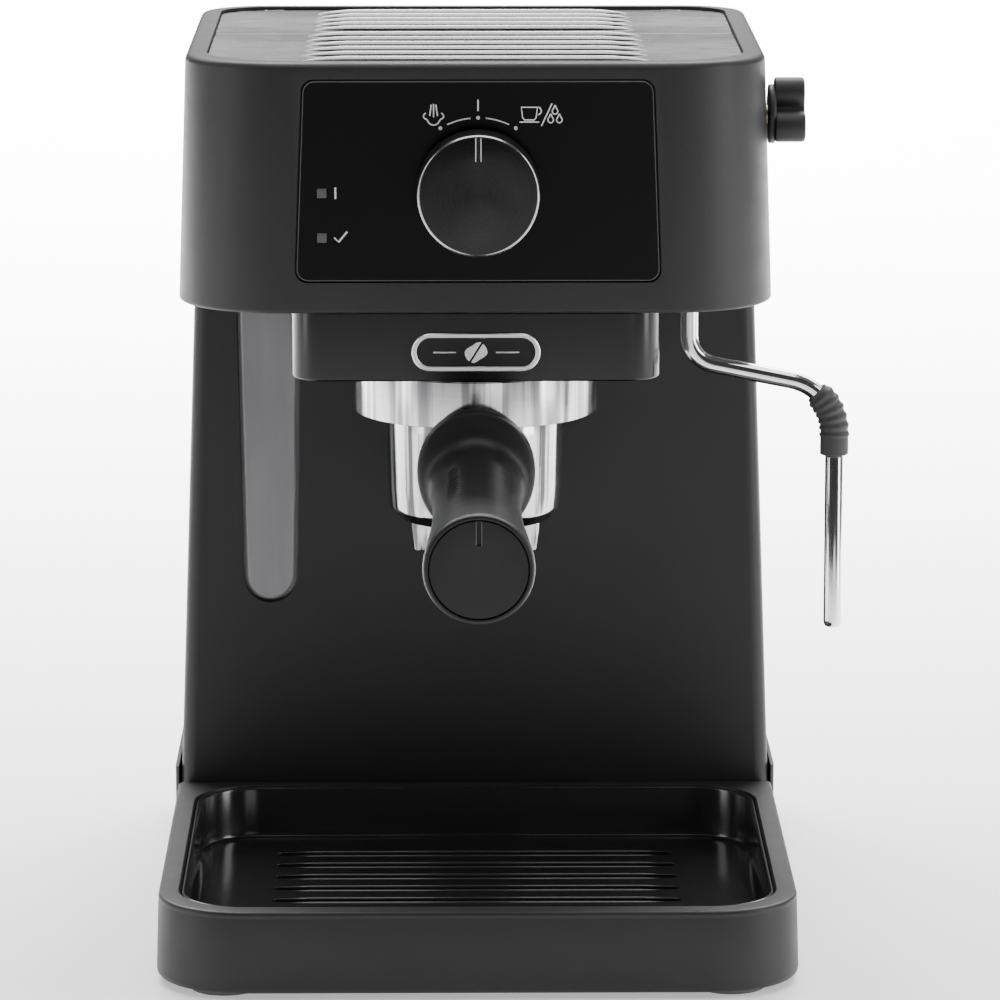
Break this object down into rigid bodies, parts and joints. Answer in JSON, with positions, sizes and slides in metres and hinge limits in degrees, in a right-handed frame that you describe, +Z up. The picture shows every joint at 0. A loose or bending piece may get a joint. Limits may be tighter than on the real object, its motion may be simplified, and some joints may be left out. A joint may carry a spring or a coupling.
{
  "type": "espresso machine",
  "caption": "Compact pump espresso machine with filter holder, swivelling steam wand, slide-out drip tray and lift-out water tank.",
  "frame": {"origin": "bottom centre of the bounding box at rest, on the surface the machine stands on", "axes": "+X to the machine's right as its user faces it, +Y from the front to the back, +Z up"},
  "size_m": [0.2276, 0.3269, 0.287],
  "materials": {
    "black_plastic": "fine matt texture",
    "satin_black": "satin",
    "gloss_black": "high gloss",
    "grey_rubber": "matt",
    "black_rubber": "matt",
    "red_rubber": "matt",
    "smoked_clear": "smoked, translucent",
    "plate_metal": "fine brushed",
    "polished_alloy": "polished, fine turned",
    "cast_alloy": "cast",
    "bright_metal": "mirror polished",
    "steel": "satin",
    "dark_metal": "spun metallic look",
    "lens": "frosted, unlit",
    "board": "printed circuit board",
    "ivory_plastic": "moulded",
    "copper_wire": "enamelled winding",
    "clear_hose": "milky silicone",
    "brass": "turned"
  },
  "bodies": {
    "housing": {"base_plate": "black_plastic", "base_skirt": "black_plastic", "rubber_feet": "grey_rubber", "column_shell": "satin_black", "back_cover": "black_plastic", "back_screws": "steel", "level_window": "smoked_clear", "head_shell": "black_plastic", "cup_warmer_plate": "plate_metal", "control_panel": "gloss_black", "indicator_lenses": "lens", "control_board": "board", "selector_switch": "ivory_plastic", "group_cover": "gloss_black", "badge": "bright_metal", "group_ring": "polished_alloy", "group_gasket": "black_rubber", "shower_screen": "steel", "shower_screw": "steel", "boiler_base": "cast_alloy", "boiler_gasket": "red_rubber", "boiler_cap": "cast_alloy", "boiler_screws": "steel", "heating_element": "steel", "thermostats": "ivory_plastic", "thermal_fuse": "steel", "pump_body": "ivory_plastic", "pump_coil": "copper_wire", "pump_mounts": "black_rubber", "suction_hose": "clear_hose", "pressure_hose": "clear_hose", "steam_pipe": "brass", "steam_valve": "brass", "wand_bushing": "black_plastic", "tank_shelf": "black_plastic", "power_bezel": "gloss_black", "cord_gland": "black_rubber"},
    "selector": {"selector_knob": "dark_metal"},
    "steam_tap": {"steam_spindle": "brass", "steam_knob": "black_plastic"},
    "wand": {"steam_wand": "bright_metal", "wand_sleeve": "black_rubber"},
    "frother": {"frother_tube": "bright_metal"},
    "filter_holder": {"filter_bowl": "polished_alloy", "filter_basket": "steel", "basket_spring": "steel", "spout": "polished_alloy", "spout_screw": "steel", "handle": "black_plastic", "handle_cap": "black_plastic", "handle_bolt": "steel"},
    "tray": {"drip_tray": "black_plastic"},
    "grille": {"cup_grille": "gloss_black"},
    "tank": {"water_tank": "smoked_clear"},
    "tank_valve": {"tank_plunger": "ivory_plastic", "plunger_spring": "steel"},
    "lid": {"tank_lid": "black_plastic", "lid_plate": "plate_metal", "lid_pins": "steel"},
    "power_switch": {"power_rocker": "gloss_black"}
  },
  "joints": [
    {"name": "selector_turn", "type": "hinge", "parent": "housing", "child": "selector", "pos_m": [-0.0094, -0.033, 0.245], "axis": [0, 1, 0], "range_deg": [-31, 31]},
    {"name": "steam_turn", "type": "hinge", "parent": "housing", "child": "steam_tap", "pos_m": [0.0899, 0.02, 0.2647], "axis": [1, 0, 0], "range_deg": [0, 270]},
    {"name": "wand_swivel", "type": "hinge", "parent": "housing", "child": "wand", "pos_m": [0.0605, 0.004, 0.2], "axis": [0, 0, 1], "range_deg": [-75, 25]},
    {"name": "frother_pull", "type": "slide", "parent": "wand", "child": "frother", "axis": [0, 0, -1], "range_m": [0, 0.06]},
    {"name": "filter_holder_turn", "type": "hinge", "parent": "housing", "child": "filter_holder", "pos_m": [-0.0101, 0.019, 0.17], "axis": [0, 0, 1], "range_deg": [-50, 0]},
    {"name": "tray_slide", "type": "slide", "parent": "housing", "child": "tray", "axis": [0, -1, 0], "range_m": [0, 0.16]},
    {"name": "grille_lift", "type": "slide", "parent": "tray", "child": "grille", "axis": [0, 0, 1], "range_m": [0, 0.05]},
    {"name": "tank_lift", "type": "slide", "parent": "housing", "child": "tank", "axis": [0, 0, 1], "range_m": [0, 0.2]},
    {"name": "tank_valve_push", "type": "slide", "parent": "tank", "child": "tank_valve", "axis": [0, 0, 1], "range_m": [0, 0.003], "stiffness_N_per_m": 300, "springref_m": -0.001, "deforming": ["plunger_spring"]},
    {"name": "lid_hinge", "type": "hinge", "parent": "tank", "child": "lid", "pos_m": [-0.0101, 0.1594, 0.2828], "axis": [-1, 0, 0], "range_deg": [0, 75]},
    {"name": "power_rock", "type": "hinge", "parent": "housing", "child": "power_switch", "pos_m": [-0.0641, 0.156, 0.072], "axis": [1, 0, 0], "range_deg": [-9, 9]}
  ]
}
